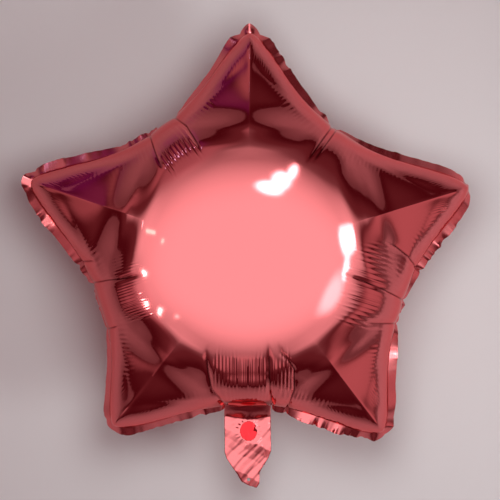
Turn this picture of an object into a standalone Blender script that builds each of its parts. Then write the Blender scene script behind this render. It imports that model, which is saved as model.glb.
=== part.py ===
# Star foil balloon, blown up and lying on its back with its front panel up.
#
# Two star-shaped foil panels are welded along a flat lip and stand apart once the bag is full.
# The foil has no stretch, so what is left over at each notch gathers into pleats and creases.
# A flat tail at the bottom notch holds the film valve, its fill hole and a hole for the string.
# Metres, +Z up. The origin is on the floor under the star's centre, and +Y points to the top arm.

import math

import bmesh
import bpy

# The star's outline when full: its tips and notches, and how each arm differs from the mean,
# in reach and in degrees, from the top arm round to the left
TIP_RADIUS = 0.2035
NOTCH_RADIUS = 0.139
TIP_REACH = (1.0, 1.034, 0.982, 1.0, 1.034)
TIP_TURN = (-0.4, -0.6, -2.4, 1.2, -1.0)
NOTCH_REACH = (1.01, 1.02, 0.985, 1.05, 1.0)
TIP_BLUNTNESS = 0.085
RIDGE_SHARPNESS = 0.6
SIDE_HOLLOW = 2.7

# The puffed section
HALF_THICKNESS = 0.0955
SECTION_POWER = 2.3
TIP_TAPER = 0.9
REST_SPOT_RADIUS = 0.022

# The welded lip round the star
LIP_WIDTH = 0.006
LIP_THICKNESS = 0.0008
LIP_RIPPLE = 0.0007
LIP_LEAN_ON_ARM = math.radians(15)
LIP_LEAN_IN_NOTCH = math.radians(55)
SEAM_DRAW = 0.003
SEAM_GROOVE = 0.007

# The seam is drawn in fully up to the first angle from a notch line, and not past the second
DRAWN_ANGLES = (math.radians(3.5), math.radians(23))

# Pleats at each notch: how strong they are, and where they start and end in degrees from its
# line. They lie on the shoulder of the bag, between section angles where they start and end.
PLEATS = ((1.0, -11, 10), (0.5, -19, 13), (1.0, -15, 19), (1.0, -13, 17), (0.2, -10, 10))
PLEAT_FADE = 4
PLEAT_DEPTH = 0.0012
PLEATS_START = math.radians(20)
PLEATS_END = math.radians(48)

# Creases at each notch: degrees from its line, and depth. They start at the seam.
CREASES = (
    ((-9.6, 0.0045), (4.5, 0.0035)),
    ((-17.0, 0.0025), (-8.8, 0.0035), (8.6, 0.003)),
    ((-10.5, 0.005), (8.7, 0.0055), (16.6, 0.0035)),
    ((-8.0, 0.0035), (2.0, 0.004), (15.5, 0.004)),
    ((0.8, 0.003), (4.3, 0.0055)),
)
CREASE_WIDTH = math.radians(1.9)
CREASE_END = math.radians(52)

# The tail, its pocket and its holes
TAIL_WIDTH = 0.0425
TAIL_LENGTH = 0.077
TAIL_END_WIDTH = 0.020
TAIL_END_SLANT = 0.0105
TAIL_FOLD_LENGTH = 0.0335
TAIL_DROOP = 0.018
TAIL_ROOT = 0.014
TAIL_SKIN = 0.0007
TAIL_SEAL = 0.007
TAIL_CRUMPLE = 0.0016
TAIL_END_PLEAT = 0.0012
FILL_HOLE_DIAMETER = 0.016
FILL_HOLE_DROP = 0.0242
STRING_HOLE_DIAMETER = 0.0027
STRING_HOLE_INSET = 0.0078

# The valve film and the room round it
FILM_THICKNESS = 0.0005
FILM_CLEARANCE = 0.0003

# Facets: columns from a tip to a notch, and rings from the seam to the middle
ARM_COLUMNS = 7
GATHER_COLUMNS = 14
GATHER_ANGLE = math.radians(17.5)
RINGS = 10
RING_BUNCHING = 1.8
THINNED_FROM_RING = 7
TAIL_CELL = 0.0034

ARMS = 5
HALF_SECTOR = math.pi / ARMS
TOP_ANGLE = math.pi / 2
FOIL_COLOUR = (0.62, 0.13, 0.15, 1.0)
FILM_COLOUR = (0.75, 0.05, 0.06, 1.0)


def smooth(value, start, end):
    """A soft step from 0 at start to 1 at end."""
    t = min(max((value - start) / (end - start), 0.0), 1.0)
    return t * t * (3 - 2 * t)


def make_object(name, mesh_data, collection, material=None):
    """Turn a bmesh into an object that is shaded smooth up to sharp creases."""
    bmesh.ops.recalc_face_normals(mesh_data, faces=mesh_data.faces)
    mesh = bpy.data.meshes.new(name)
    mesh_data.to_mesh(mesh)
    mesh_data.free()
    mesh.shade_smooth()
    mesh.set_sharp_from_angle(angle=math.radians(40))
    if material:
        mesh.materials.append(material)
    made = bpy.data.objects.new(name, mesh)
    collection.objects.link(made)
    return made


def make_material(name, colour, metallic, roughness):
    """A Principled material of one colour."""
    material = bpy.data.materials.new(name)
    material.use_nodes = True
    shader = material.node_tree.nodes["Principled BSDF"]
    shader.inputs["Base Color"].default_value = colour
    shader.inputs["Metallic"].default_value = metallic
    shader.inputs["Roughness"].default_value = roughness
    return material


def add_boolean(target, cutter, operation):
    """Join or cut target with a guide object that stays as a wire."""
    cutter.hide_render = True
    cutter.display_type = "WIRE"
    modifier = target.modifiers.new(cutter.name, "BOOLEAN")
    modifier.operation = operation
    modifier.solver = "EXACT"
    modifier.object = cutter


class Column:
    """One line of the panel from the seam to the middle, known by its place along the seam."""

    def __init__(self, arm, side, tip_share, index):
        # arm counts from the top arm to the left, and side is +1 on the way to the next arm
        notch = arm if side > 0 else (arm - 1) % ARMS
        self.tip_share = tip_share
        self.tip_reach = TIP_REACH[arm]
        self.notch_reach = NOTCH_REACH[notch]
        self.notch_angle = TOP_ANGLE + (2 * arm + side) * HALF_SECTOR
        self.offset = -side * (1 - tip_share) * HALF_SECTOR
        self.turn = math.radians(TIP_TURN[arm]) * (1 - tip_share) ** 2
        self.creases = CREASES[notch]
        self.pleats = PLEATS[notch]
        self.in_valley = index % 2

    def gathered(self):
        """How strong the notch's pleats are at this column."""
        strength, start, end = self.pleats
        degrees = math.degrees(self.offset)
        inside = smooth(degrees, start - PLEAT_FADE, start) * (1 - smooth(degrees, end, end + PLEAT_FADE))
        return strength * inside

    def drawn(self):
        """How much the seam is drawn in here, from 0 on the arms to 1 at the notch."""
        return 1 - smooth(abs(self.offset), *DRAWN_ANGLES)

    def fold_depth(self, climb):
        """How far pleats and creases sink the foil here, at the section angle climb."""
        on_shoulder = smooth(climb, PLEATS_START / 2, PLEATS_START) * (1 - smooth(climb, PLEATS_START, PLEATS_END))
        depth = PLEAT_DEPTH * self.in_valley * self.gathered() * on_shoulder
        for degrees, deepest in self.creases:
            away = abs(self.offset - math.radians(degrees)) / CREASE_WIDTH
            depth += deepest * max(0.0, 1 - away) * (1 - smooth(climb, 0, CREASE_END))
        return depth

    def point(self, climb):
        """Radius, angle and height over the seam plane at the section angle climb."""
        power = 2 / SECTION_POWER
        across = max(math.cos(climb), 0.0) ** power
        height = math.sin(climb) ** power
        # the arms differ in reach at the seam, and all alike come to a round middle
        apart = 1 - height ** 3
        notch_radius = NOTCH_RADIUS * across
        tip_radius = max(TIP_RADIUS * math.sqrt(1 - height ** (1 / TIP_TAPER)), notch_radius)
        notch_radius *= 1 + (self.notch_reach - 1) * apart
        tip_radius *= 1 + (self.tip_reach - 1) * apart
        blunt = TIP_BLUNTNESS * (1 - RIDGE_SHARPNESS * min(1, 3 * height))
        share = math.hypot(self.tip_share, blunt) - blunt
        roundness = 1 + height ** 3
        radius = notch_radius + (tip_radius - notch_radius) * (1 - share ** roundness) ** SIDE_HOLLOW
        # the folds run side by side, so their angle widens as the radius shrinks
        spread = min(1 / max(across, 0.5) - 1, 0.7)
        angle = self.notch_angle + self.turn + self.offset * (1 + spread * self.tip_share ** 2)
        depth = self.fold_depth(climb)
        radius -= depth * math.cos(climb)
        radius -= SEAM_DRAW * self.drawn() * math.exp(-(HALF_THICKNESS * height / SEAM_GROOVE) ** 2)
        return radius, angle, HALF_THICKNESS * height - depth * math.sin(climb)

    def lip_point(self):
        """Radius, angle and drop of the lip's outer edge."""
        radius, angle, _ = self.point(0.0)
        lean = LIP_LEAN_ON_ARM + (LIP_LEAN_IN_NOTCH - LIP_LEAN_ON_ARM) * self.drawn()
        ripple = LIP_RIPPLE * (1 - 2 * self.in_valley)
        return radius + LIP_WIDTH * math.cos(lean), angle, ripple - LIP_WIDTH * math.sin(lean)


def moved_to_creases(shares, notch, side):
    """The same columns with the nearest one moved onto each crease on one side of a notch."""
    moved = list(shares)
    for degrees, _ in CREASES[notch]:
        if degrees * side < 0:
            crease = 1 - math.radians(abs(degrees)) / HALF_SECTOR
            nearest = min(range(len(moved)), key=lambda i: abs(moved[i] - crease))
            moved[nearest] = crease
    return moved


def seam_columns():
    """Every column round the star, close together where the foil gathers."""
    arm_share = 1 - GATHER_ANGLE / HALF_SECTOR
    shares = [arm_share * i / ARM_COLUMNS for i in range(ARM_COLUMNS)]
    shares += [arm_share + (1 - arm_share) * i / GATHER_COLUMNS for i in range(GATHER_COLUMNS)]
    columns = []
    for notch in range(ARMS):
        for share in moved_to_creases(shares, notch, 1):
            columns.append(Column(notch, 1, share, len(columns)))
        columns.append(Column(notch, 1, 1.0, len(columns)))
        for share in reversed(moved_to_creases(shares, notch, -1)[1:]):
            columns.append(Column((notch + 1) % ARMS, -1, share, len(columns)))
    return columns


def add_ring(mesh_data, places):
    """Vertices at the given radii, angles and heights."""
    return [mesh_data.verts.new((r * math.cos(a), r * math.sin(a), z)) for r, a, z in places]


def bridge(mesh_data, outer, inner):
    """Faces between two rings; the inner one may have half as many vertices."""
    count = len(outer)
    step = count // len(inner)
    for i in range(0, count, step):
        here = inner[i // step]
        following = inner[(i // step + 1) % len(inner)]
        if step == 1:
            mesh_data.faces.new((outer[i], outer[(i + 1) % count], following, here))
        else:
            mesh_data.faces.new((outer[i], outer[i + 1], here))
            mesh_data.faces.new((outer[i + 1], following, here))
            mesh_data.faces.new((outer[i + 1], outer[(i + 2) % count], following))


def add_panel(mesh_data, columns, seam, side, last_climb):
    """One puffed panel from its seam ring to its last ring, which is returned."""
    ring = seam
    for k in range(1, RINGS + 1):
        climb = last_climb * (k / RINGS) ** RING_BUNCHING
        if climb > math.radians(89):
            return ring
        used = columns[::2] if k >= THINNED_FROM_RING else columns
        places = [column.point(climb) for column in used]
        following = add_ring(mesh_data, [(r, a, side * z) for r, a, z in places])
        bridge(mesh_data, ring, following)
        ring = following
    return ring


def rest_climb():
    """Section angle at which the back panel meets its flat spot."""
    return math.acos((REST_SPOT_RADIUS / NOTCH_RADIUS) ** (SECTION_POWER / 2))


def rest_drop():
    """Distance from the seam plane down to the flat spot that the balloon lies on."""
    return HALF_THICKNESS * math.sin(rest_climb()) ** (2 / SECTION_POWER)


def build_bag(collection, material):
    """The puffed star with its lip, around the seam plane at height 0."""
    mesh_data = bmesh.new()
    columns = seam_columns()
    half_lip = LIP_THICKNESS / 2
    seam = [column.point(0.0) for column in columns]
    lip = [column.lip_point() for column in columns]
    front_seam = add_ring(mesh_data, [(r, a, half_lip) for r, a, _ in seam])
    front_lip = add_ring(mesh_data, [(r, a, z + half_lip) for r, a, z in lip])
    back_lip = add_ring(mesh_data, [(r, a, z - half_lip) for r, a, z in lip])
    back_seam = add_ring(mesh_data, [(r, a, -half_lip) for r, a, _ in seam])
    bridge(mesh_data, front_seam, front_lip)
    bridge(mesh_data, front_lip, back_lip)
    bridge(mesh_data, back_lip, back_seam)

    front = add_panel(mesh_data, columns, front_seam, 1, math.pi / 2)
    crown = mesh_data.verts.new((0, 0, HALF_THICKNESS))
    for i, vertex in enumerate(front):
        mesh_data.faces.new((vertex, front[(i + 1) % len(front)], crown))
    back = add_panel(mesh_data, columns, back_seam, -1, rest_climb())
    for vertex in back:
        vertex.co.z = -rest_drop()
    mesh_data.faces.new(back)
    return make_object("foil_envelope", mesh_data, collection, material)


def tail_top():
    """Y of the outline where the tail comes out of the bottom notch."""
    return -NOTCH_RADIUS * NOTCH_REACH[2]


def tail_half_width(y):
    """Half the tail's width: straight at first, then drawn in to its folded end."""
    fold_start = tail_top() - TAIL_LENGTH + TAIL_FOLD_LENGTH
    drawn_in = smooth(y, fold_start, fold_start - 0.65 * TAIL_FOLD_LENGTH)
    return (TAIL_WIDTH + (TAIL_END_WIDTH - TAIL_WIDTH) * drawn_in) / 2


def crumple(x, y):
    """Height of the tail's drooping, crumpled foil, which its pocket and film follow."""
    along = (tail_top() - y) / TAIL_LENGTH
    across = x / TAIL_WIDTH
    wave = math.sin(2 * math.pi * (1.25 * along + 0.7 * across) + 0.6)
    wave += 0.6 * math.sin(2 * math.pi * (2.1 * along - 1.3 * across) + 2.0)
    pleat = math.cos(2 * math.pi * 2.2 * x / TAIL_END_WIDTH)
    # the foil lies flatter round the fill hole, and it starts flat at the body
    from_hole = math.hypot(x, y - tail_top() + FILL_HOLE_DROP)
    free = smooth(along, -0.15, 0.35) * smooth(from_hole, 0, 2 * FILL_HOLE_DIAMETER)
    height = TAIL_CRUMPLE * wave * free + TAIL_END_PLEAT * pleat * smooth(along, 0.72, 0.95)
    return height - TAIL_DROOP * max(0.0, along) ** 2


def build_strip(name, start, end, half_width, thickness, collection, material=None, slant=0.0):
    """A closed crumpled strip along -Y, whose left edge ends short by the slant."""
    rows = math.ceil((start - end) / TAIL_CELL)
    cells = math.ceil(TAIL_WIDTH / TAIL_CELL)
    mesh_data = bmesh.new()
    sheets = []
    for side in (1, -1):
        sheet = []
        for i in range(rows + 1):
            row = []
            for j in range(cells + 1):
                y = start + (end + slant * (1 - j / cells) - start) * i / rows
                x = half_width(y) * (j + j - cells) / cells
                row.append(mesh_data.verts.new((x, y, crumple(x, y) + side * thickness / 2)))
            sheet.append(row)
        sheets.append(sheet)
        for i in range(rows):
            for j in range(cells):
                corners = (sheet[i][j], sheet[i][j + 1], sheet[i + 1][j + 1], sheet[i + 1][j])
                mesh_data.faces.new(corners)
    rims = []
    for sheet in sheets:
        rim = sheet[0][:-1] + [row[-1] for row in sheet[:-1]]
        rim += sheet[-1][:0:-1] + [row[0] for row in sheet[:0:-1]]
        rims.append(rim)
    bridge(mesh_data, rims[0], rims[1])
    return make_object(name, mesh_data, collection, material)


def build_hole(name, diameter, y, low, high, collection):
    """A round cutter that stands on the tail between two heights."""
    mesh_data = bmesh.new()
    radius = diameter / 2
    bmesh.ops.create_cone(
        mesh_data, cap_ends=True, segments=28, radius1=radius, radius2=radius, depth=high - low
    )
    hole = make_object(name, mesh_data, collection)
    hole.location = (0, y, (low + high) / 2)
    return hole


def build_balloon():
    """The two pieces: the foil bag with its tail, and the film valve in the tail."""
    for old in list(bpy.data.objects):
        bpy.data.objects.remove(old, do_unlink=True)
    parts = bpy.data.collections.new("star_foil_balloon")
    cutters = bpy.data.collections.new("cutters")
    for collection in (parts, cutters):
        bpy.context.scene.collection.children.link(collection)

    foil = make_material("foil", FOIL_COLOUR, 1.0, 0.16)
    film = make_material("valve_film", FILM_COLOUR, 0.0, 0.3)
    envelope = build_bag(parts, foil)

    top = tail_top()
    bottom = top - TAIL_LENGTH
    hole_y = top - FILL_HOLE_DROP
    string_y = bottom + STRING_HOLE_INSET
    room = FILM_THICKNESS + 2 * FILM_CLEARANCE
    tail_thickness = room + 2 * TAIL_SKIN
    pocket_half = TAIL_WIDTH / 2 - TAIL_SEAL
    pocket_start = top + TAIL_ROOT / 2
    pocket_end = bottom + TAIL_FOLD_LENGTH
    film_half = pocket_half - FILM_CLEARANCE
    film_start = pocket_start - FILM_CLEARANCE
    film_end = pocket_end + FILM_CLEARANCE
    hole_top = tail_thickness + 3 * TAIL_CRUMPLE

    tail = build_strip(
        "tail_strip", top + TAIL_ROOT, bottom, tail_half_width, tail_thickness, cutters, slant=TAIL_END_SLANT
    )
    pocket = build_strip("tail_pocket", pocket_start, pocket_end, lambda y: pocket_half, room, cutters)
    fill_floor = crumple(0, hole_y)
    fill_hole = build_hole("fill_hole", FILL_HOLE_DIAMETER, hole_y, fill_floor, hole_top, cutters)
    tail_end = crumple(0, string_y)
    string_hole = build_hole(
        "string_hole", STRING_HOLE_DIAMETER, string_y, tail_end - hole_top, tail_end + hole_top, cutters
    )
    valve = build_strip(
        "valve_film", film_start, film_end, lambda y: film_half, FILM_THICKNESS, parts, film
    )

    add_boolean(envelope, tail, "UNION")
    add_boolean(envelope, pocket, "DIFFERENCE")
    add_boolean(envelope, fill_hole, "DIFFERENCE")
    add_boolean(envelope, string_hole, "DIFFERENCE")
    for placed in (envelope, valve, tail, pocket, fill_hole, string_hole):
        placed.location.z += rest_drop()


build_balloon()
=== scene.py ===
# Star foil balloon, blown up and lying on its back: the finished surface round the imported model.

import math

import bpy
import numpy as np
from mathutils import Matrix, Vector, noise


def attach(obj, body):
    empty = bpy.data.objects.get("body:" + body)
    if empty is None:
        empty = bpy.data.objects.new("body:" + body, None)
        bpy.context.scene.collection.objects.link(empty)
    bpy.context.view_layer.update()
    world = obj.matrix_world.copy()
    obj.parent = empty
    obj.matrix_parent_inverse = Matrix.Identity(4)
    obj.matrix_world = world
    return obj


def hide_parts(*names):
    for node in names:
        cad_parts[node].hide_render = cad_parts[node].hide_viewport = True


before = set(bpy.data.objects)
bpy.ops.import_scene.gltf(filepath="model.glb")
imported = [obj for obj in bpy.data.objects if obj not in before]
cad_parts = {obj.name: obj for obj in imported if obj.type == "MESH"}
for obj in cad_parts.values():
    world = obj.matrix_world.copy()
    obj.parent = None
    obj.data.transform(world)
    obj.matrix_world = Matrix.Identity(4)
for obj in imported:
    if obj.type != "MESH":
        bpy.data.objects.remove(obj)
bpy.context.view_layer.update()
bpy.ops.object.select_all(action="DESELECT")


# The foil bag
# Two star-shaped panels of metallised film, welded along their edge and blown tight. The film
# can't stretch, so the length to spare round the rim goes into creases and fine pleats.

TIP_RADIUS = 0.2035
NOTCH_RADIUS = 0.139
HALF_THICKNESS = 0.0955
REST_SPOT_RADIUS = 0.022
# Each arm's reach and turn and each notch's reach, from the top arm round to the left
TIP_REACH = np.array((1.0, 1.034, 0.982, 1.0, 1.034))
TIP_TURN = np.radians((-0.4, -0.6, -2.4, 1.2, -1.0))
NOTCH_REACH = np.array((1.01, 1.02, 0.985, 1.05, 1.0))
BOTTOM_NOTCH = 2
# The plain blown form: how square its section is, how the arms taper upwards, how blunt their
# tips and how sharp their ridges are, and how hollow the star's sides are between the tips
SECTION_POWER = 2.3
TIP_TAPER = 0.9
TIP_BLUNTNESS = 0.085
RIDGE_SHARPNESS = 0.85
SIDE_HOLLOW = 2.7
# The crowded columns beside a notch spread apart where the section closes in: the least width,
# as a share, that the spread is worked out from, and the most that it may be
LEAST_ACROSS = 0.5
MOST_SPREAD = 0.7
# The arms' sides are flat slopes like a roof's, inside a round rim: their slope, the rim's width
# and height, over which reach from the star's centre the roof begins, over which share of the
# way to the notch it ends, and the plain form's powers that it is set against
ROOF_SLOPE = 0.72
RIM_WIDTH = 0.015
RIM_HEIGHT = 0.0190
ROOF_REACH = (0.092, 0.135)
ROOF_END = (0.65, 0.95)
PLAIN_POWERS = (1.6, 0.6)
NARROWEST_ARM = 0.002

ARMS = 5
HALF_SECTOR = math.pi / ARMS
TOP_ANGLE = math.pi / 2
GATHER_ANGLE = math.radians(17.5)
ARM_COLUMNS = 84
GATHER_COLUMNS = 68
# Ring counts from the seam inwards, over the four stretches that end at these lengths
STRETCH_ENDS = (0.030, 0.100, 0.125)
FRONT_RINGS = (8, 26, 4, 12)
BACK_RINGS = (6, 13, 3, 8)
FRONT_TOP_CLIMB = math.radians(89)
FRONT_SEED = 3
BACK_SEED = 11

# How far the welded seam is drawn in behind the round rim, and over what height
SEAM_DRAW = 0.003
SEAM_GROOVE = 0.006

# Each crease at a notch, in mm: its depth, how far in from the seam it ends, and how far it is
# to the side of the notch line at the seam, a third and two thirds of the way, and at its end
CREASES = (
    ((1.9, 42, -19, -22.5, -21.5, -20.5), (1.6, 36, 9, 12, 15, 17)),
    ((1.3, 12, -40, -39, -38, -37), (1.6, 46, -19, -17, -14, -12), (1.2, 12, 24, 24, 24, 24)),
    ((2.2, 56, -21, -32.5, -35.5, -37.5), (2.4, 58, 21, 18.8, 18, 17.5), (2.0, 58, 35, 40, 39.5, 20.5)),
    ((1.5, 30, -18, -20.5, -23, -25), (1.9, 58, 4.5, 7.5, 9.2, 11), (1.6, 40, 36, 43, 47, 49.5)),
    ((1.3, 40, 2, 2, 2, 2), (1.9, 44, 7, 7, 6.6, 6.4)),
)
CREASE_WIDTH = 0.0013
CREASE_ROUNDING = 0.0005
CREASE_FADE = 0.7
# The wide hollow on both sides of a crease: its half width, its share of the crease's depth, and
# where it begins to fade out
SHOULDER_WIDTH = 0.0075
SHOULDER_DEPTH = 0.4
SHOULDER_FADE = 0.1
# Half the width of the painted shade where the film closes on itself in a crease
SHADE_SLIT_WIDTH = 0.0006
# The painted shade along the seam where the tail goes in under the rim: over what ways it ends,
# to the side and inwards from the seam
SHADED_TAIL_GAP_WIDTH = (0.018, 0.023)
SHADED_TAIL_GAP = (0.003, 0.007)
# The pleats at each notch: strength, then in mm their pitch, where they start and end to the
# sides, and where they start and end inwards from the seam
PLEATS = (
    (1.2, 3.8, -21, 13, 13, 44),
    (0.45, 2.6, -34, 24, 15, 46),
    (1.0, 3.1, -30, 38, 14, 52),
    (0.9, 4.1, -30, 46, 20, 54),
    (0.12, 3.4, -20, 20, 14, 36),
)
PLEAT_HEIGHT = 0.00022
PLEAT_DRIFT = 0.3
PLEAT_SHARPNESS = 0.25
PLEAT_UNEVENNESS = 0.5
PLEAT_RAGGEDNESS = 0.006
# Over what ways the pleats fade out: past and before their sides, and at their outer and inner ends
PLEAT_SIDES = (0.003, 0.002)
PLEAT_START = 0.006
PLEAT_END = 0.014
# How far the gathered rim stands up over the plain form at each notch, in mm, and the shape of
# that rise by the way in from the seam, in mm: it leaves a narrow rim and a flat pleated slope
RIM_RISE = (0.8, 2.0, 3.6, 0.5, 1.0)
RIM_RISE_AT = (0, 5, 10, 20, 30, 42)
RIM_RISE_SHARE = (0, 0.7, 1.0, 1.0, 0.25, 0)
RIM_RISE_SIDES = 0.020
# The ripples: their height and pitch, how much they drift and differ and over what lengths, and
# over what ways inwards from the seam they start and end
RIPPLE_HEIGHT = 0.00016
RIPPLE_PITCH = 0.0036
RIPPLE_DRIFT = 0.5
RIPPLE_DRIFT_LENGTH = 0.012
RIPPLE_UNEVENNESS = 0.8
RIPPLE_UNEVEN_LENGTH = 0.018
RIPPLE_START = (0.005, 0.012)
RIPPLE_END = (0.015, 0.023)
SWELL_HEIGHT = 0.0005
SWELL_LENGTH = 0.075
SWELL_START = (0.0, 0.02)

FOIL_COLOUR = (0.72, 0.172, 0.182, 1.0)
FOIL_EDGE_TINT = (0.95, 0.50, 0.50, 1.0)
# A painted shade colour, mixed into the foil's colour along closed creases and the tail's gap
SLIT_SHADE_COLOUR = (0.10, 0.008, 0.012, 1.0)
FOIL_ROUGHNESS = (0.05, 0.11)
FOIL_DENTS = 0.00003
# How fine the finish's dull patches and its dents are, each with its levels of detail
HAZE_SCALE, HAZE_DETAIL = 22, 3
DENT_SCALE, DENT_DETAIL = 60, 4
SHARP_ANGLE = math.radians(50)
# How many heights a wandering wave has before it repeats
WANDER_HEIGHTS = 2048


def soft_step(value, start, end):
    """A soft rise from 0 at start to 1 at end."""
    t = np.clip((value - start) / (end - start), 0, 1)
    return t * t * (3 - 2 * t)


def wander(values, pitch, seed, sharp=False):
    """A wave between -1 and 1 with a new height at each pitch, rounded or with sharp turns."""
    heights = np.random.default_rng(seed).uniform(-1, 1, WANDER_HEIGHTS)
    at = np.asarray(values) / pitch
    low = np.floor(at).astype(int)
    t = at - low
    if not sharp:
        t = t * t * (3 - 2 * t)
    return heights[low % WANDER_HEIGHTS] * (1 - t) + heights[(low + 1) % WANDER_HEIGHTS] * t


def lay_columns():
    """The arm, side, share of the way to the notch, and notch of each column round the star."""
    split = 1 - GATHER_ANGLE / HALF_SECTOR
    to_notch = np.concatenate((
        np.linspace(0, split, ARM_COLUMNS, endpoint=False),
        np.linspace(split, 1, GATHER_COLUMNS, endpoint=False),
    ))
    from_notch = np.concatenate(([1.0], to_notch[:0:-1]))
    arm, side, share = [], [], []
    for i in range(ARMS):
        arm += [i] * len(to_notch) + [(i + 1) % ARMS] * len(from_notch)
        side += [1] * len(to_notch) + [-1] * len(from_notch)
        share += [*to_notch, *from_notch]
    arm, side, share = np.array(arm), np.array(side), np.array(share)
    return arm, side, share, np.where(side > 0, arm, (arm - 1) % ARMS)


ARM, SIDE, SHARE, NOTCH = lay_columns()
OFFSET = -SIDE * (1 - SHARE) * HALF_SECTOR


def puffed(climb):
    """Every column's point at one section angle above the seam, on the plain blown form."""
    power = 2 / SECTION_POWER
    across = max(math.cos(climb), 0.0) ** power
    height = math.sin(climb) ** power
    apart = 1 - height ** 3
    notch_radius = NOTCH_RADIUS * across
    tip_radius = max(TIP_RADIUS * math.sqrt(1 - height ** (1 / TIP_TAPER)), notch_radius)
    notch_radius = notch_radius * (1 + (NOTCH_REACH[NOTCH] - 1) * apart)
    tip_radius = tip_radius * (1 + (TIP_REACH[ARM] - 1) * apart)
    blunt = TIP_BLUNTNESS * (1 - RIDGE_SHARPNESS * min(1, 3 * height))
    share = np.hypot(SHARE, blunt) - blunt
    radius = notch_radius + (tip_radius - notch_radius) * (1 - share ** (1 + height ** 3)) ** SIDE_HOLLOW
    radius = radius - SEAM_DRAW * math.exp(-(HALF_THICKNESS * height / SEAM_GROOVE) ** 2)
    spread = min(1 / max(across, LEAST_ACROSS) - 1, MOST_SPREAD)
    angle = TOP_ANGLE + (2 * ARM + SIDE) * HALF_SECTOR + OFFSET * (1 + spread * SHARE ** 2)
    angle = angle + TIP_TURN[ARM] * (1 - SHARE) ** 2
    level = np.full(len(SHARE), HALF_THICKNESS * height)
    return np.stack((radius * np.cos(angle), radius * np.sin(angle), level), 1)


def climb_table():
    """Section angles against the length climbed from the seam, in line with a notch."""
    climbs = np.linspace(0, math.pi / 2, 400)
    power = 2 / SECTION_POWER
    across = NOTCH_RADIUS * np.cos(climbs).clip(0) ** power
    height = HALF_THICKNESS * np.sin(climbs) ** power
    steps = np.hypot(np.diff(across), np.diff(height))
    return climbs, np.concatenate(([0], np.cumsum(steps)))


CLIMBS, CLIMBED = climb_table()
REST_CLIMB = math.acos((REST_SPOT_RADIUS / NOTCH_RADIUS) ** (SECTION_POWER / 2))
REST_DROP = HALF_THICKNESS * math.sin(REST_CLIMB) ** (2 / SECTION_POWER)
SEAM = puffed(0.0)
SEAM_STEP = np.linalg.norm(np.roll(SEAM, -1, 0) - SEAM, axis=1)
SEAM_PLACE = np.concatenate(([0], np.cumsum(SEAM_STEP)[:-1]))
SEAM_TANGENT = np.roll(SEAM, -3, 0) - np.roll(SEAM, 3, 0)
SEAM_TANGENT /= np.linalg.norm(SEAM_TANGENT, axis=1)[:, None]
SEAM_OUTWARD = np.stack((SEAM_TANGENT[:, 1], -SEAM_TANGENT[:, 0], 0 * SEAM_STEP), 1)
# The direction square to the notch line of each column's notch, along the gathered edge
NOTCH_ANGLE = TOP_ANGLE + (2 * NOTCH + 1) * HALF_SECTOR
NOTCH_SIDE = np.stack((-np.sin(NOTCH_ANGLE), np.cos(NOTCH_ANGLE), 0 * SEAM_STEP), 1)
SEAM_ACROSS = np.einsum("ni,ni->n", SEAM, NOTCH_SIDE)


def crease_height(across, inset):
    """How far the creases sink the foil, by the way to the side of the notch and in from the
    seam, and how strongly painted shade darkens the line where each one closes."""
    height, painted_shade = np.zeros_like(across), np.zeros_like(across)
    for notch in range(ARMS):
        here = np.broadcast_to(NOTCH == notch, across.shape)
        for depth, length, *sides in CREASES[notch]:
            way = inset[here] * 1000 / length
            middle = np.interp(way, (0, 1 / 3, 2 / 3, 1), sides) / 1000
            away = np.hypot(across[here] - middle, CREASE_ROUNDING)
            fade = 1 - soft_step(way, CREASE_FADE, 1.0)
            wide = 1 - soft_step(way, SHOULDER_FADE, 1.0)
            height[here] -= depth / 1000 * fade * np.exp(-away / CREASE_WIDTH)
            height[here] -= SHOULDER_DEPTH * depth / 1000 * wide * np.exp(-(away / SHOULDER_WIDTH) ** 2)
            # Painted shade along the line where the crease closes
            slit_shade = fade * np.exp(-((across[here] - middle) / SHADE_SLIT_WIDTH) ** 2)
            painted_shade[here] = np.maximum(painted_shade[here], slit_shade)
    return height, painted_shade


def pleat_height(across, inset, seed):
    """The fine pleats that run in from each notch."""
    height = np.zeros_like(across)
    outer, inner = PLEAT_SIDES
    for notch in range(ARMS):
        here = np.broadcast_to(NOTCH == notch, across.shape)
        strength, pitch, *bounds = PLEATS[notch]
        pitch = pitch / 1000
        low, high, start, end = np.array(bounds) / 1000
        x, y = across[here], inset[here]
        zone = soft_step(x, low - outer, low + inner) * (1 - soft_step(x, high - inner, high + outer))
        turn = 2 * math.pi * (x / pitch + PLEAT_DRIFT * wander(x, 4 * pitch, seed + notch))
        wave = np.cos(turn) + PLEAT_SHARPNESS * np.cos(2 * turn)
        uneven = 1 + PLEAT_UNEVENNESS * wander(x, 1.6 * pitch, seed + 5 + notch)
        ragged = PLEAT_RAGGEDNESS * wander(x, 0.8 * pitch, seed + 10 + notch)
        band = soft_step(y, start, start + PLEAT_START) * (1 - soft_step(y + ragged, end - PLEAT_END, end))
        height[here] += PLEAT_HEIGHT * strength * wave * uneven * zone * band
    return height


def rim_rise(across, inset):
    """How far the gathered foil of each notch stands up over the plain form."""
    rise = np.zeros_like(across)
    for notch in range(ARMS):
        here = np.broadcast_to(NOTCH == notch, across.shape)
        low, high = np.array(PLEATS[notch][2:4]) / 1000
        x = across[here]
        wide = soft_step(x, low - RIM_RISE_SIDES, low) * (1 - soft_step(x, high, high + RIM_RISE_SIDES))
        share = np.interp(inset[here] * 1000, RIM_RISE_AT, RIM_RISE_SHARE)
        rise[here] = RIM_RISE[notch] / 1000 * share * wide
    return rise


def ripple_height(place, inset, seed):
    """The faint ripples along the inner edge of the round rim."""
    turn = 2 * math.pi * (place / RIPPLE_PITCH + RIPPLE_DRIFT * wander(place, RIPPLE_DRIFT_LENGTH, seed + 2))
    band = soft_step(inset, *RIPPLE_START) * (1 - soft_step(inset, *RIPPLE_END))
    uneven = 1 + RIPPLE_UNEVENNESS * wander(place, RIPPLE_UNEVEN_LENGTH, seed + 3)
    return RIPPLE_HEIGHT * np.cos(turn) * band * uneven


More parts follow.
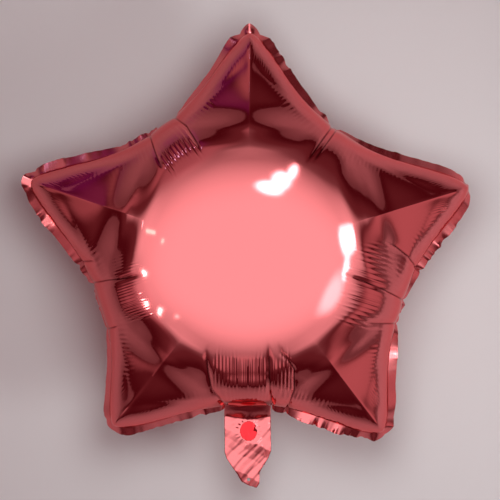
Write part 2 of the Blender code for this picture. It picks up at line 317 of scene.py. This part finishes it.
def roof_rise(rings):
    """How far the arms' sides lie over or under the plain form, as flat slopes up to a ridge."""
    rise = np.zeros(rings.shape[:2])
    for arm in range(ARMS):
        turn = TOP_ANGLE + 2 * arm * HALF_SECTOR + TIP_TURN[arm]
        ridge = rings[:, (ARM == arm) & (SHARE == 0)][:, 0]
        reach = rings[:, :, 0] * math.cos(turn) + rings[:, :, 1] * math.sin(turn)
        aside = np.abs(rings[:, :, 1] * math.cos(turn) - rings[:, :, 0] * math.sin(turn))
        widths = []
        for side in (1, -1):
            here = (ARM == arm) & (SIDE == side)
            order = np.argsort(reach[0, here])
            widths.append(np.interp(reach, reach[0, here][order], aside[0, here][order]))
        height = np.interp(reach, np.hypot(ridge[::-1, 0], ridge[::-1, 1]), ridge[::-1, 2])
        for side, width in zip((1, -1), widths):
            here = (ARM == arm) & (SIDE == side)
            share = np.clip(aside[:, here] / np.maximum(width[:, here], NARROWEST_ARM), 0, 1)
            inset = (1 - share) * (widths[0] + widths[1])[:, here] / 2 * math.cos(HALF_SECTOR)
            rim = RIM_HEIGHT * np.sqrt(1 - np.clip(1 - inset / RIM_WIDTH, 0, 1) ** 2)
            plain = height[:, here] * (1 - share ** PLAIN_POWERS[0]) ** PLAIN_POWERS[1]
            weight = soft_step(reach[:, here], *ROOF_REACH) * (1 - soft_step(SHARE[here], *ROOF_END))
            rise[:, here] = weight * (ROOF_SLOPE * inset + rim - plain)
    return rise


def swell(points, seed):
    """The slow unevenness of the blown foil."""
    shift = Vector((seed, 2 * seed, 0))
    flat = points.reshape(-1, 3)
    heights = [noise.noise(Vector(p) / SWELL_LENGTH + shift) for p in flat]
    return np.array(heights).reshape(points.shape[:2])


def panel_rings(counts, last_climb, seed):
    """The folded rings of one panel from the seam inwards, thinned out towards the middle, each
    point with how strongly painted shade darkens it along a closed crease or the tail's gap."""
    last = np.interp(last_climb, CLIMBS, CLIMBED)
    starts = (0.0, *STRETCH_ENDS)
    ends = (*STRETCH_ENDS, last)
    lengths = [np.linspace(a, b, n, endpoint=False) for a, b, n in zip(starts, ends, counts)]
    lengths = np.concatenate((*lengths, [last]))
    rings = np.stack([puffed(c) for c in np.interp(lengths, CLIMBED, CLIMBS)])
    plain = rings
    along = np.roll(rings, -1, 1) - np.roll(rings, 1, 1)
    normal = np.cross(along, np.gradient(rings, axis=0))
    normal /= np.maximum(np.linalg.norm(normal, axis=2), 1e-9)[:, :, None]
    place = SEAM_PLACE[None, :] + np.einsum("kni,ni->kn", rings - rings[:1], SEAM_TANGENT)
    inset = np.einsum("kni,ni->kn", rings[:1] - rings, SEAM_OUTWARD).clip(0)
    across = np.einsum("kni,ni->kn", rings, NOTCH_SIDE)
    height, painted_shade = crease_height(across, inset)
    # Painted shade along the seam where the tail goes in under the rim
    over_tail = (NOTCH == BOTTOM_NOTCH) * (1 - soft_step(np.abs(across), *SHADED_TAIL_GAP_WIDTH))
    painted_shade = np.maximum(painted_shade, over_tail * (1 - soft_step(inset, *SHADED_TAIL_GAP)))
    height += pleat_height(across, inset, seed) + ripple_height(place, inset, seed)
    height += SWELL_HEIGHT * swell(rings, seed) * soft_step(inset, *SWELL_START)
    rings = rings + normal * height[:, :, None]
    rings[:, :, 2] += rim_rise(across, inset) + roof_rise(plain)
    rings[0, :, 2] = 0
    rings = np.concatenate((rings, painted_shade[:, :, None]), 2)
    thinned = []
    # Every column in the first two stretches, then every second, and every fourth at the middle
    for k, ring in enumerate(rings):
        step = 1 if k < sum(counts[:2]) else 2 if k < sum(counts[:3]) else 4
        thinned.append(ring[::step])
    return thinned


def bridge(faces, outer, inner):
    """Quads between two rings of vertex numbers, or triangles where the inner has half as many."""
    following = np.roll(inner, -1)
    if len(inner) == len(outer):
        faces += np.stack((outer, np.roll(outer, -1), following, inner), 1).tolist()
        return
    first, middle, last = outer[::2], outer[1::2], np.roll(outer, -2)[::2]
    faces += np.stack((first, middle, inner), 1).tolist()
    faces += np.stack((middle, following, inner), 1).tolist()
    faces += np.stack((middle, last, following), 1).tolist()


def add_piece(name, vertices, faces, material, slot):
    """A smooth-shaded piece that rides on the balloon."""
    mesh = bpy.data.meshes.new(name)
    mesh.from_pydata(vertices, [], faces)
    mesh.shade_smooth()
    mesh.set_sharp_from_angle(angle=SHARP_ANGLE)
    mesh.materials.append(material)
    piece = bpy.data.objects.new(name, mesh)
    bpy.context.scene.collection.objects.link(piece)
    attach(piece, "root")
    return piece


def build_bag():
    """Vertices and faces of both panels, which share the seam ring, and how strongly painted
    shade darkens each vertex along the creases and the tail's gap."""
    front = panel_rings(FRONT_RINGS, FRONT_TOP_CLIMB, FRONT_SEED)
    back = panel_rings(BACK_RINGS, REST_CLIMB, BACK_SEED)
    back[0] = front[0]
    back[-1][:, 2] = REST_DROP
    vertices = [v for ring in front for v in ring]
    vertices.append((0, 0, HALF_THICKNESS, 0))
    faces, numbers = [], []
    count = 0
    for ring in front:
        numbers.append(np.arange(count, count + len(ring)))
        count += len(ring)
    for outer, inner in zip(numbers, numbers[1:]):
        bridge(faces, outer, inner)
    last = numbers[-1]
    faces += [(a, b, count) for a, b in zip(last, np.roll(last, -1))]
    count += 1
    outer = numbers[0]
    under = []
    for ring in back[1:]:
        inner = np.arange(count, count + len(ring))
        count += len(ring)
        vertices += [v * (1, 1, -1, 1) for v in ring]
        bridge(under, outer, inner)
        outer = inner
    vertices.append((0, 0, -REST_DROP, 0))
    under += [(a, b, count) for a, b in zip(outer, np.roll(outer, -1))]
    faces += [face[::-1] for face in under]
    points = np.array([tuple(v) for v in vertices])
    vertices = points[:, :3] + (0, 0, REST_DROP)
    return vertices.tolist(), [tuple(int(i) for i in face) for face in faces], points[:, 3]


def new_film_finish():
    """The wear of handled film: duller in patches, and faintly dented."""
    group = bpy.data.node_groups.new("film_finish", "ShaderNodeTree")
    for name in ("Low Roughness", "High Roughness", "Dent Depth"):
        group.interface.new_socket(name, in_out="INPUT", socket_type="NodeSocketFloat")
    group.interface.new_socket("Roughness", in_out="OUTPUT", socket_type="NodeSocketFloat")
    group.interface.new_socket("Normal", in_out="OUTPUT", socket_type="NodeSocketVector")
    nodes, links = group.nodes, group.links
    values, results = nodes.new("NodeGroupInput"), nodes.new("NodeGroupOutput")
    coords = nodes.new("ShaderNodeTexCoord")
    haze = nodes.new("ShaderNodeTexNoise")
    haze.inputs["Scale"].default_value = HAZE_SCALE
    haze.inputs["Detail"].default_value = HAZE_DETAIL
    links.new(coords.outputs["Object"], haze.inputs["Vector"])
    spread = nodes.new("ShaderNodeMapRange")
    links.new(haze.outputs["Fac"], spread.inputs["Value"])
    links.new(values.outputs["Low Roughness"], spread.inputs["To Min"])
    links.new(values.outputs["High Roughness"], spread.inputs["To Max"])
    links.new(spread.outputs["Result"], results.inputs["Roughness"])
    dent = nodes.new("ShaderNodeTexNoise")
    dent.inputs["Scale"].default_value = DENT_SCALE
    dent.inputs["Detail"].default_value = DENT_DETAIL
    links.new(coords.outputs["Object"], dent.inputs["Vector"])
    bump = nodes.new("ShaderNodeBump")
    bump.inputs["Strength"].default_value = 1.0
    links.new(values.outputs["Dent Depth"], bump.inputs["Distance"])
    links.new(dent.outputs["Fac"], bump.inputs["Height"])
    links.new(bump.outputs["Normal"], results.inputs["Normal"])
    return group


FILM_FINISH = new_film_finish()


def new_foil(name, colour, roughness, dents):
    """A metallised film: a mirror with the wear of handled film."""
    material = bpy.data.materials.new(name)
    material.use_nodes = True
    nodes, links = material.node_tree.nodes, material.node_tree.links
    shader = nodes["Principled BSDF"]
    shader.inputs["Base Color"].default_value = colour
    shader.inputs["Metallic"].default_value = 1.0
    shader.inputs["Specular Tint"].default_value = FOIL_EDGE_TINT
    finish = nodes.new("ShaderNodeGroup")
    finish.node_tree = FILM_FINISH
    finish.inputs["Low Roughness"].default_value = roughness[0]
    finish.inputs["High Roughness"].default_value = roughness[1]
    finish.inputs["Dent Depth"].default_value = dents
    links.new(finish.outputs["Roughness"], shader.inputs["Roughness"])
    links.new(finish.outputs["Normal"], shader.inputs["Normal"])
    return material


def paint_crease_shade(material):
    """Paint shade into the foil's base colour along the closed creases and the tail's gap."""
    nodes, links = material.node_tree.nodes, material.node_tree.links
    painted_shade = nodes.new("ShaderNodeAttribute")
    painted_shade.attribute_name = "crease"
    mix = nodes.new("ShaderNodeMix")
    mix.data_type = "RGBA"
    mix.inputs["A"].default_value = FOIL_COLOUR
    mix.inputs["B"].default_value = SLIT_SHADE_COLOUR
    links.new(painted_shade.outputs["Fac"], mix.inputs["Factor"])
    links.new(mix.outputs["Result"], nodes["Principled BSDF"].inputs["Base Color"])


foil = new_foil("rose_red_foil", FOIL_COLOUR, FOIL_ROUGHNESS, FOIL_DENTS)
paint_crease_shade(foil)
vertices, faces, painted_shade = build_bag()
bag = add_piece("foil_bag", vertices, faces, foil, "foil")
# The painted shade along closed creases and the tail's gap, stored on the mesh for the foil's colour
bag.data.attributes.new("crease", "FLOAT", "POINT").data.foreach_set("value", painted_shade)
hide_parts("foil_envelope")


# The welded lip
# Outside the weld the two panels lie flat on each other as a narrow strip. It is as long as the
# flat star's edge, so it ruffles and leans back wherever the full bag draws the seam shorter.

LIP_WIDTH = 0.0088
LIP_THICKNESS = 0.0002
LIP_ROOT = 0.0015
LIP_STEPS = 7
# How far the lip shows past the rim, in mm: at each arm's tip, then at five places on the way
# to the next notch and five on the way to the last one
LIP_SHOWS = (
    (6.5, (0.5, 4.5, 2.0, 1.5, 0.5), (0.5, 3.5, 3.5, 4.5, 2.0)),
    (8.0, (4.0, 5.0, 4.5, 4.5, 2.0), (1.5, 4.5, 4.5, 3.5, 3.0)),
    (2.0, (4.5, 3.5, 2.5, 3.0, 5.0), (1.0, 3.0, 2.0, 1.5, 2.0)),
    (1.0, (4.5, 3.0, 4.5, 5.0, 2.5), (4.5, 3.0, 5.5, 5.5, 5.5)),
    (-1.5, (0.0, 2.5, 3.5, 3.5, 3.0), (0.5, 3.5, 5.0, 5.5, 3.0)),
)
LIP_SHOW_AT = (0.0, 0.055, 0.10, 0.22, 0.50, 0.88)
LIP_UNEVENNESS = 0.0006
LIP_UNEVEN_PITCH = 0.016
LIP_JAGGED_PITCH = 0.004
# How far the lip follows the creases inwards, and its least reach outwards, as a share of its
# width, where it leans back
LIP_SINK = 0.8
LIP_LEAST_REACH = 0.12
LIP_RUFFLE = 0.0018
LIP_RUFFLE_PITCH = 0.0046
LIP_FINE_RUFFLE = 0.5
LIP_FINE_PITCH = 0.0021
LIP_RUFFLE_POWER = 1.3
# The lip is crinkled where a slow wave round the seam passes a level, and nearly smooth elsewhere
LIP_WAVE_PITCH = 0.022
LIP_CRINKLED_FROM = (-0.15, 0.45)
LIP_SMOOTH_RUFFLE = 0.15
# How far behind the rim the lip stays where the tail takes its place, and where that ends
TUCKED_BACK = 0.0025
TUCKED_WIDTH = (0.019, 0.023)
LIP_ROUGHNESS = (0.14, 0.24)
LIP_DENTS = 0.00005


def build_lip():
    """Vertices and faces of the thin strip round the seam."""
    shows = np.zeros(len(SHARE))
    for arm in range(ARMS):
        tip, onward, back = LIP_SHOWS[arm]
        for side, row in ((1, onward), (-1, back)):
            here = (ARM == arm) & (SIDE == side)
            shows[here] = np.interp(SHARE[here], LIP_SHOW_AT, (tip, *row)) / 1000
    crinkled = soft_step(wander(SEAM_PLACE, LIP_WAVE_PITCH, 25), *LIP_CRINKLED_FROM)
    shows = shows + LIP_UNEVENNESS * wander(SEAM_PLACE, LIP_UNEVEN_PITCH, 21)
    shows += LIP_UNEVENNESS * crinkled * wander(SEAM_PLACE, LIP_JAGGED_PITCH, 22, True)
    sunk, _ = crease_height(SEAM_ACROSS, np.zeros(len(SHARE)))
    shows += LIP_SINK * sunk
    over_tail = (NOTCH == BOTTOM_NOTCH) * (1 - soft_step(np.abs(SEAM_ACROSS), *TUCKED_WIDTH))
    shows = shows * (1 - over_tail) - TUCKED_BACK * over_tail
    outward = SEAM_OUTWARD
    root = SEAM + outward * sunk[:, None]
    lean = np.arccos(np.clip((SEAM_DRAW + shows) / LIP_WIDTH, LIP_LEAST_REACH, 1))
    run = outward * np.cos(lean)[:, None]
    run[:, 2] -= np.sin(lean)
    face = np.stack((outward[:, 0] * np.sin(lean), outward[:, 1] * np.sin(lean), np.cos(lean)), 1)
    ruffle = wander(SEAM_PLACE, LIP_RUFFLE_PITCH, 23, True)
    ruffle = ruffle + LIP_FINE_RUFFLE * wander(SEAM_PLACE, LIP_FINE_PITCH, 24, True)
    ruffle = ruffle * (LIP_SMOOTH_RUFFLE + (1 - LIP_SMOOTH_RUFFLE) * crinkled)
    rows = []
    for sheet in (1, -1):
        for step in range(LIP_STEPS + 1):
            way = step / LIP_STEPS
            reach = -LIP_ROOT + (LIP_WIDTH + LIP_ROOT) * way
            lift = LIP_RUFFLE * ruffle * way ** LIP_RUFFLE_POWER + sheet * LIP_THICKNESS / 2
            rows.append(root + run * reach + face * lift[:, None])
    rows = rows[:LIP_STEPS + 1] + rows[:LIP_STEPS:-1]
    count = len(SHARE)
    faces = []
    numbers = [np.arange(count) + k * count for k in range(len(rows))]
    for inner, outer in zip(numbers, numbers[1:] + numbers[:1]):
        bridge(faces, inner, outer)
    vertices = np.concatenate(rows) + (0, 0, REST_DROP)
    return vertices.tolist(), [tuple(int(i) for i in face[::-1]) for face in faces]


lip_foil = new_foil("rose_red_lip", FOIL_COLOUR, LIP_ROUGHNESS, LIP_DENTS)
lip = add_piece("foil_lip", *build_lip(), lip_foil, "foil")
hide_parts("foil_envelope")


# The tail
# Below the bottom notch both panels run on as a flat neck, sealed along its edges and crumpled
# by handling. It is folded across at the body, and has a fill hole and a small string hole.

TAIL_TOP = -NOTCH_RADIUS * NOTCH_REACH[BOTTOM_NOTCH]
TAIL_ROOT = 0.014
# The tail's left and right edges, from the body down to its folded corner
TAIL_LEFT = (
    (-0.1229, -0.0215), (-0.1440, -0.0222), (-0.1812, -0.0220), (-0.1866, -0.0203), (-0.2006, -0.0108),
    (-0.2038, -0.0093), (-0.2083, -0.0066), (-0.2123, 0.0004), (-0.2140, 0.0068),
)
TAIL_RIGHT = (
    (-0.1229, 0.0205), (-0.1440, 0.0201), (-0.1798, 0.0207), (-0.1875, 0.0176), (-0.1985, 0.0107),
    (-0.2012, 0.0100), (-0.2100, 0.0100), (-0.2140, 0.0074),
)
TAIL_END = -0.2140
TAIL_CELL = 0.0008
TAIL_THICKNESS = 0.0016
TAIL_SKIN = 0.0003
TAIL_SEAL = 0.0035
# How the two skins come together at the tail's edges: by what share, and how abruptly
EDGE_PINCH = 0.7
EDGE_PINCH_POWER = 8
# The fold across the tail: how far below the body it lies, how it slants up to the sides, how
# far inside the body the tail begins to fall, and how far it falls to the fold
FOLD_DROP = 0.0141
FOLD_SLANT = 0.0035
FOLD_START = 0.005
FOLD_FALL = 0.0150
TAIL_DROOP = 0.009
FILL_HOLE = (0.0, -0.1611)
FILL_HOLE_RADII = (0.0077, 0.0088)
STRING_HOLE = (0.0, -0.2064)
STRING_HOLE_RADIUS = 0.0016
# The pocket between the skins ends this far below the fill hole's centre
POCKET_REACH = 0.022
# The height over the seam plane that the fill hole's cutter goes up to, and how far the string
# hole's cutter reaches up and down from the tail's middle
CUTTER_TOP = 0.012
CUTTER_REACH = 0.01
CUTTER_SIDES = 64
# Crumples: degrees of the crease lines from +X, pitch, height and a number to draw them from
CRUMPLES = (
    (47, 0.0052, 0.0011, 31),
    (47, 0.0023, 0.0004, 32),
    (-28, 0.0075, 0.0013, 33),
    (100, 0.0085, 0.0013, 34),
)
CRUMPLE_BEND = 0.25
CRUMPLE_BEND_LENGTH = 0.013
# Over which way from the body the crumples begin, and over which way from the fill hole's centre
# they grow from half their height to the whole
CRUMPLE_START = (0.004, 0.016)
CRUMPLE_CALM = (0.006, 0.014)
# The small ticks in a ring round the fill hole, where its rim is drawn together
RADIAL_TICKS = 22
TICK_HEIGHT = 0.00022
TICK_START = (0.0075, 0.0095)
TICK_END = (0.0105, 0.0135)
TICK_DRIFT = 2
TICK_DRIFT_ANGLE = 0.7
TAIL_ROUGHNESS = (0.10, 0.20)
TAIL_DENTS = 0.00004


def tail_edges(y):
    """Where the tail's left and right edges are at one height up the page."""
    left_y, left_x = zip(*TAIL_LEFT[::-1])
    right_y, right_x = zip(*TAIL_RIGHT[::-1])
    return np.interp(y, left_y, left_x), np.interp(y, right_y, right_x)


def tail_height(x, y):
    """The height of the crumpled tail over the seam plane."""
    along = TAIL_TOP - y
    fold = FOLD_DROP - FOLD_SLANT * np.abs(x) / TAIL_RIGHT[0][1]
    height = -FOLD_FALL * np.clip((along + FOLD_START) / (fold + FOLD_START), 0, 1)
    height = height - TAIL_DROOP * np.clip((along - fold) / (TAIL_TOP - TAIL_END - fold), 0, 1) ** 2
    around_x, around_y = x - FILL_HOLE[0], y - FILL_HOLE[1]
    from_hole = np.hypot(around_x, around_y)
    free = soft_step(along, *CRUMPLE_START) * (0.5 + 0.5 * soft_step(from_hole, *CRUMPLE_CALM))
    for degrees, pitch, depth, seed in CRUMPLES:
        turn = math.radians(degrees)
        across = y * math.cos(turn) - x * math.sin(turn)
        down_line = x * math.cos(turn) + y * math.sin(turn)
        bend = CRUMPLE_BEND * pitch * wander(down_line, CRUMPLE_BEND_LENGTH, seed + 10)
        height = height + depth * free * wander(across + bend, pitch, seed, True)
    around = np.arctan2(around_y, around_x)
    ring = soft_step(from_hole, *TICK_START) * (1 - soft_step(from_hole, *TICK_END))
    turn = RADIAL_TICKS * around + TICK_DRIFT * wander(around, TICK_DRIFT_ANGLE, 35)
    return height + TICK_HEIGHT * ring * np.cos(turn)


def build_strip(name, start, end, inset, thickness, cell, fold_height=0, fold_pitch=1, fold_lean=0.3):
    """A closed crumpled strip that follows the tail, inset from its edges, with folds down it."""
    rows = math.ceil((start - end) / cell)
    cells = math.ceil(2 * TAIL_RIGHT[0][1] / cell)
    ys = np.linspace(start, end, rows + 1)
    left, right = tail_edges(ys)
    share = np.linspace(0, 1, cells + 1)
    x = (left + inset)[:, None] * (1 - share) + (right - inset)[:, None] * share
    y = np.broadcast_to(ys[:, None], x.shape)
    pinch = 1 - EDGE_PINCH * (2 * share - 1) ** EDGE_PINCH_POWER
    half = thickness / 2 * pinch[None, :]
    middle = tail_height(x, y) + fold_height * wander(x + fold_lean * y, fold_pitch, 41, True)
    sheets = [np.stack((x, y, middle + side * half), 2) for side in (1, -1)]
    vertices = np.concatenate([sheet.reshape(-1, 3) for sheet in sheets]) + (0, 0, REST_DROP)
    number = np.arange(x.size).reshape(x.shape)
    a, b, c, d = number[:-1, :-1], number[:-1, 1:], number[1:, 1:], number[1:, :-1]
    top = np.stack((a, d, c, b), 2).reshape(-1, 4)
    faces = top.tolist() + (top[:, ::-1] + x.size).tolist()
    rim = np.concatenate((number[0, :-1], number[:-1, -1], number[-1, :0:-1], number[:0:-1, 0]))
    following = np.roll(rim, -1)
    faces += np.stack((rim, following, following + x.size, rim + x.size), 1).tolist()
    mesh = bpy.data.meshes.new(name)
    mesh.from_pydata(vertices.tolist(), [], faces)
    made = bpy.data.objects.new(name, mesh)
    bpy.context.scene.collection.objects.link(made)
    return made


def cut(piece, cutter):
    """Take the cutter's shape out of a piece."""
    modifier = piece.modifiers.new("cut", "BOOLEAN")
    modifier.operation = "DIFFERENCE"
    modifier.object = cutter
    bpy.context.view_layer.objects.active = piece
    bpy.ops.object.modifier_apply(modifier="cut")
    bpy.data.objects.remove(cutter)


def add_cutter(place, radii, low, high):
    """An upright oval cutter through part of the tail."""
    bpy.ops.mesh.primitive_cylinder_add(
        vertices=CUTTER_SIDES,
        radius=1,
        depth=high - low,
        location=(*place, REST_DROP + (high + low) / 2),
        scale=(*radii, 1),
    )
    return bpy.context.object


tail_foil = new_foil("rose_red_tail", FOIL_COLOUR, TAIL_ROUGHNESS, TAIL_DENTS)
tail = build_strip("foil_tail", TAIL_TOP + TAIL_ROOT, TAIL_END, 0, TAIL_THICKNESS, TAIL_CELL)
pocket_top, pocket_end = TAIL_TOP + TAIL_ROOT / 2, FILL_HOLE[1] - POCKET_REACH
room = TAIL_THICKNESS - 2 * TAIL_SKIN
cut(tail, build_strip("pocket", pocket_top, pocket_end, TAIL_SEAL, room, TAIL_CELL))
# The fill hole goes through the front skin alone, and the string hole through both
cut(tail, add_cutter(FILL_HOLE, FILL_HOLE_RADII, tail_height(*FILL_HOLE), CUTTER_TOP))
end_height = tail_height(*STRING_HOLE)
string_radii = (STRING_HOLE_RADIUS, STRING_HOLE_RADIUS)
cut(tail, add_cutter(STRING_HOLE, string_radii, end_height - CUTTER_REACH, end_height + CUTTER_REACH))
tail.data.materials.append(tail_foil)
tail.data.shade_smooth()
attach(tail, "root")
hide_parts("foil_envelope")


# The valve film
# A strip of thin red film in the tail's pocket. The gas presses it flat, so that it closes itself
# over the fill hole, through which it shows.

FILM_THICKNESS = 0.0003
FILM_GAP = 0.0002
FILM_END_GAP = 0.001
FILM_CELL = 0.0004
FILM_FOLD_HEIGHT = 0.0002
FILM_FOLD_PITCH = 0.0011
FILM_COLOUR = (0.80, 0.03, 0.04, 1.0)
FILM_ROUGHNESS = (0.15, 0.30)
FILM_DENTS = 0.0002
film = build_strip(
    "film_strip",
    pocket_top - FILM_END_GAP,
    pocket_end + FILM_END_GAP,
    TAIL_SEAL + FILM_GAP,
    FILM_THICKNESS,
    FILM_CELL,
    FILM_FOLD_HEIGHT,
    FILM_FOLD_PITCH,
)
film.data.materials.append(new_foil("red_valve_film", FILM_COLOUR, FILM_ROUGHNESS, FILM_DENTS))
film.data.shade_smooth()
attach(film, "root")
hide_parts("valve_film")


# The floor
# A wide pale sheet that the balloon lies on. It is matt, and the foil reflects it along its rim.

FLOOR_SIZE = 8.0
FLOOR_COLOUR = (0.80, 0.80, 0.80, 1)
FLOOR_ROUGHNESS = 0.9
bpy.ops.mesh.primitive_plane_add(size=FLOOR_SIZE, location=(0, 0, 0))
floor = bpy.context.object
floor.name = "floor"
paper = bpy.data.materials.new("pale_paper")
paper.use_nodes = True
paper_shader = paper.node_tree.nodes["Principled BSDF"]
paper_shader.inputs["Base Color"].default_value = FLOOR_COLOUR
paper_shader.inputs["Roughness"].default_value = FLOOR_ROUGHNESS
floor.data.materials.append(paper)


# The light
# One large soft panel overhead, small lamps and faint tints round its edge that the foil
# reflects, two lamps for the floor, and a dim room beyond.

PANEL_LIFT = 0.55
PANEL_SHIFT = (0.0, -0.04)
PANEL_SIZE = (2.8, 1.72)
PANEL_RADIANCE = 1.48
PANEL_COLOUR = (0.92, 1.0, 0.98)
# How far out from its middle a panel is evenly bright, as a share of its half width
PANEL_EVEN = 0.24
LAMP_EVEN = 0.35
# The two lights that only light the floor, in a pool that fades out round the star: degrees
# round and down, distance, width and radiance
FLOOR_LAMPS = ((-25, 52, 1.0, 0.35, 8.5), (60, 8, 0.52, 0.30, 6.5))
# Lamps: degrees round from +X, degrees from straight up, width, height, radiance and colour
LAMPS = (
    # The white wedge on the upper right of the body
    (74, 31, 0.24, 0.16, 9.0, (1.0, 1.0, 1.0)),
    (67, 38, 0.18, 0.24, 9.0, (1.0, 1.0, 1.0)),
    (62, 47, 0.09, 0.26, 8.0, (1.0, 1.0, 1.0)),
    # The white spot at the right, with its tail and the soft gleam under it
    (8, 47, 0.26, 0.15, 9.0, (1.0, 1.0, 1.0)),
    (-8, 47, 0.22, 0.08, 6.0, (1.0, 1.0, 1.0)),
    (-27, 43, 0.45, 0.22, 2.2, (1.0, 1.0, 1.0)),
    # The warm glints at the left
    (167, 47, 0.04, 0.04, 5.0, (1.0, 0.8, 0.6)),
    (171, 41, 0.04, 0.03, 5.0, (1.0, 0.8, 0.6)),
    (165, 54, 0.06, 0.03, 5.0, (1.0, 0.9, 0.9)),
    (190, 54, 0.05, 0.09, 14.0, (1.0, 0.9, 0.8)),
    (206, 60, 0.05, 0.06, 14.0, (1.0, 0.9, 0.8)),
    (214, 53, 0.05, 0.08, 14.0, (1.0, 0.9, 0.8)),
    (224, 47, 0.04, 0.06, 3.0, (1.0, 0.9, 0.8)),
    # The violet tint beside the upper left notch, and the lilac glints on its pleats
    (118, 77, 0.36, 0.40, 0.11, (0.62, 0.10, 1.0)),
    (129, 71, 0.08, 0.05, 7.0, (0.45, 0.70, 1.0)),
    (122, 71, 0.05, 0.04, 7.0, (0.45, 0.70, 1.0)),
    # The faint rose tints on the arms' sides and round the body
    (122, 60, 0.80, 0.36, 0.24, (1.0, 0.70, 0.75)),
    (138, 77, 0.40, 0.40, 0.30, (1.0, 0.70, 0.72)),
    (-18, 77, 1.10, 0.50, 0.46, (1.0, 0.70, 0.70)),
    (-92, 60, 0.50, 0.30, 0.45, (1.0, 0.75, 0.75)),
    (205, 62, 0.70, 0.40, 0.30, (1.0, 0.70, 0.75)),
    (206, 77, 0.34, 0.40, 0.24, (1.0, 0.70, 0.72)),
)
LAMP_REACH = 0.85
# A low violet glow beside the upper left notch: degrees round, distance, width, height, radiance
LOW_GLOW = (126, 0.46, 0.30, 0.16, 0.12)
LOW_GLOW_COLOUR = (0.44, 0.03, 1.0)
# The dim room's colours, each with how far up from the horizon it stands
ROOM_COLOURS = ((0.0, (0.085, 0.010, 0.018)), (0.30, (0.16, 0.055, 0.065)), (0.60, (0.28, 0.19, 0.20)))


def add_lamp(name, around, down, reach, size, radiance, colour=(1, 1, 1)):
    """A soft oval panel that faces the star, and that the camera doesn't see."""
    around, down = math.radians(around), math.radians(down)
    away = Vector((math.cos(around) * math.sin(down), math.sin(around) * math.sin(down), math.cos(down)))
    light = bpy.data.lights.new(name, "AREA")
    light.shape = "ELLIPSE"
    light.size, light.size_y = size
    light.energy = radiance * math.pi * math.pi * size[0] * size[1] / 4
    light.color = colour
    placed = bpy.data.objects.new(name, light)
    placed.location = away * reach + Vector((0, 0, REST_DROP))
    placed.rotation_euler = (-away).to_track_quat("-Z", "Y").to_euler()
    placed.visible_camera = False
    bpy.context.scene.collection.objects.link(placed)
    return placed


def fade_out(light, even):
    """Make a panel evenly bright in its middle and fade it out towards its edge."""
    light.use_nodes = True
    nodes, links = light.node_tree.nodes, light.node_tree.links
    across = nodes.new("ShaderNodeNewGeometry")
    centred = nodes.new("ShaderNodeVectorMath")
    centred.operation = "SUBTRACT"
    centred.inputs[1].default_value = (0.5, 0.5, 0)
    links.new(across.outputs["Parametric"], centred.inputs[0])
    length = nodes.new("ShaderNodeVectorMath")
    length.operation = "LENGTH"
    links.new(centred.outputs["Vector"], length.inputs[0])
    fade = nodes.new("ShaderNodeMapRange")
    fade.interpolation_type = "SMOOTHSTEP"
    fade.inputs["From Min"].default_value = even / 2
    fade.inputs["From Max"].default_value = 0.5
    fade.inputs["To Min"].default_value = 1
    fade.inputs["To Max"].default_value = 0
    links.new(length.outputs["Value"], fade.inputs["Value"])
    links.new(fade.outputs["Result"], nodes["Emission"].inputs["Strength"])


panel = add_lamp("overhead_panel", 0, 0, PANEL_LIFT, PANEL_SIZE, PANEL_RADIANCE, PANEL_COLOUR)
panel.location.x, panel.location.y = PANEL_SHIFT
panel.rotation_euler = (0, 0, 0)
panel.visible_diffuse = False
fade_out(panel.data, PANEL_EVEN)
for number, (around, down, width, height, radiance, colour) in enumerate(LAMPS):
    lamp = add_lamp(f"lamp_{number}", around, down, LAMP_REACH, (width, height), radiance, colour)
    lamp.visible_diffuse = False
    fade_out(lamp.data, LAMP_EVEN)
around, reach, width, height, radiance = LOW_GLOW
glow = add_lamp("low_glow", around, 90, reach, (width, height), radiance, LOW_GLOW_COLOUR)
glow.visible_diffuse = False
fade_out(glow.data, LAMP_EVEN)
for number, (around, down, reach, width, radiance) in enumerate(FLOOR_LAMPS):
    floor_lamp = add_lamp(f"floor_lamp_{number}", around, down, reach, (width, width), radiance)
    floor_lamp.visible_glossy = False

world = bpy.data.worlds.new("dim_room")
world.use_nodes = True
nodes, links = world.node_tree.nodes, world.node_tree.links
direction = nodes.new("ShaderNodeTexCoord")
parts = nodes.new("ShaderNodeSeparateXYZ")
links.new(direction.outputs["Generated"], parts.inputs["Vector"])
ramp = nodes.new("ShaderNodeValToRGB")
ramp.color_ramp.interpolation = "EASE"
ramp.color_ramp.elements.new(0.5)
for element, (height, colour) in zip(ramp.color_ramp.elements, ROOM_COLOURS):
    element.position = height
    element.color = (*colour, 1)
links.new(parts.outputs["Z"], ramp.inputs["Fac"])
links.new(ramp.outputs["Color"], nodes["Background"].inputs["Color"])
bpy.context.scene.world = world
bpy.context.scene.view_settings.view_transform = "Standard"


# The camera
# Straight above the star, a little off its centre, with the top arm up.

PHOTO_PIXELS = 500
PIXEL_SIZE = 0.000905
STAR_PIXEL = (248.6, 254.8)
CAMERA_HEIGHT = 1.5
SENSOR_WIDTH = 36
camera_data = bpy.data.cameras.new("camera")
camera_data.sensor_width = SENSOR_WIDTH
camera_data.lens = SENSOR_WIDTH * CAMERA_HEIGHT / (PHOTO_PIXELS * PIXEL_SIZE)
camera = bpy.data.objects.new("camera", camera_data)
middle = PHOTO_PIXELS / 2
camera.location = (
    (middle - STAR_PIXEL[0]) * PIXEL_SIZE,
    (STAR_PIXEL[1] - middle) * PIXEL_SIZE,
    REST_DROP + CAMERA_HEIGHT,
)
bpy.context.scene.collection.objects.link(camera)
bpy.context.scene.camera = camera
